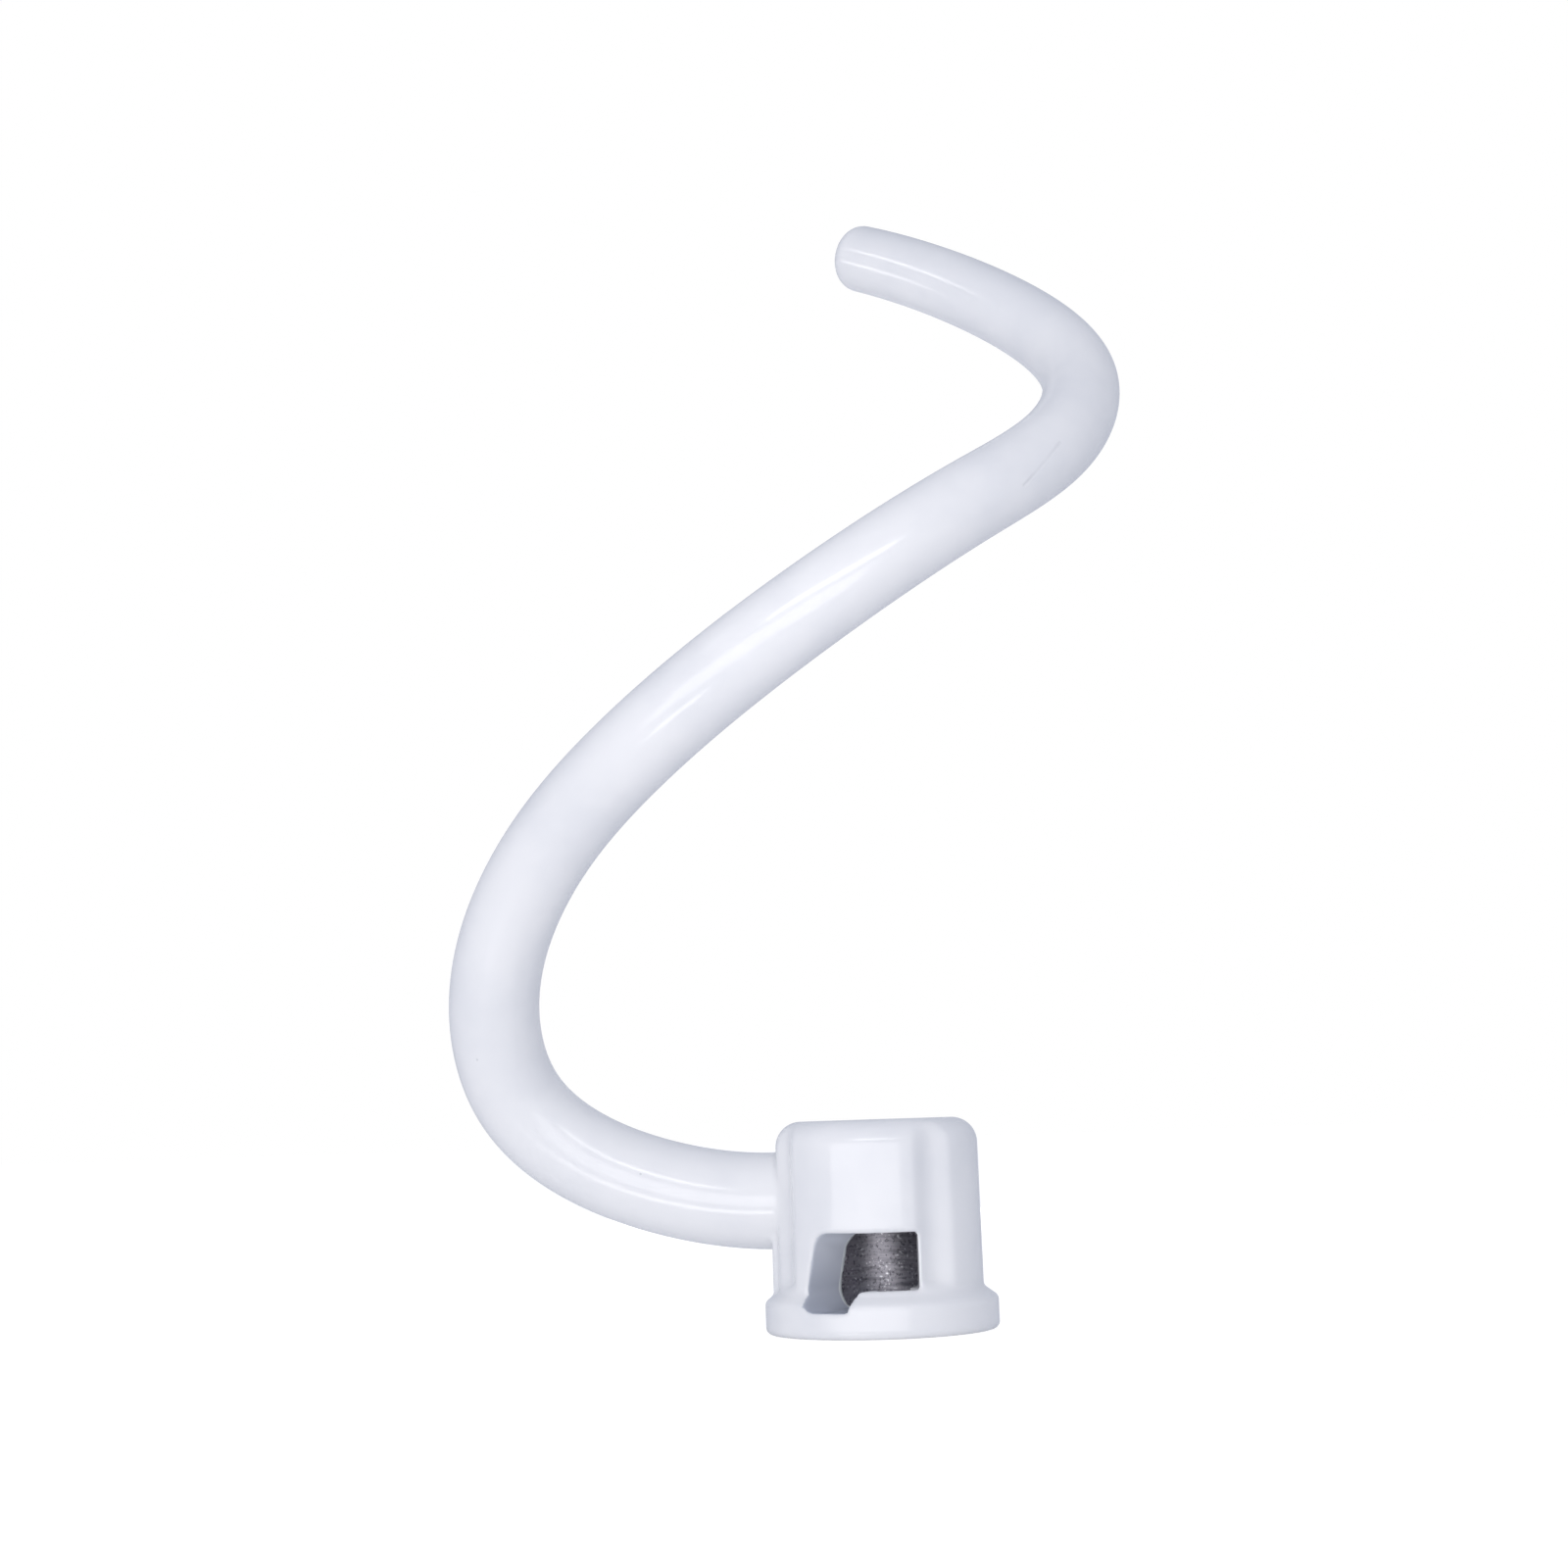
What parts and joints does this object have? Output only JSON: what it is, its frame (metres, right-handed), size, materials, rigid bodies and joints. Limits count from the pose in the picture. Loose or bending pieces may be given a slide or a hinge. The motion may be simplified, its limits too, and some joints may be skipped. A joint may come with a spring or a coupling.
{
  "type": "stand mixer dough hook",
  "caption": "Spiral dough hook for a stand mixer: a flanged hub with a blind shaft bore and bayonet window, and a tapering C-shaped arm that winds up and round to a blunt tip.",
  "frame": {"origin": "centre of the shaft bore's mouth, on the flange's open face", "axes": "+Z along the bore axis from the open face into the hub and on towards the hook's tip; -Y is the way the bayonet window faces; -X is the way the arm leaves the hub. This is the pictured attitude, hub down; in the mixer the part hangs the other way up."},
  "size_m": [0.0869, 0.0585, 0.148],
  "materials": {
    "white_coated_casting": "glossy white coating over cast aluminium, bare machined bore"
  },
  "bodies": {
    "root": {"dough_hook": "white_coated_casting"}
  },
  "joints": []
}
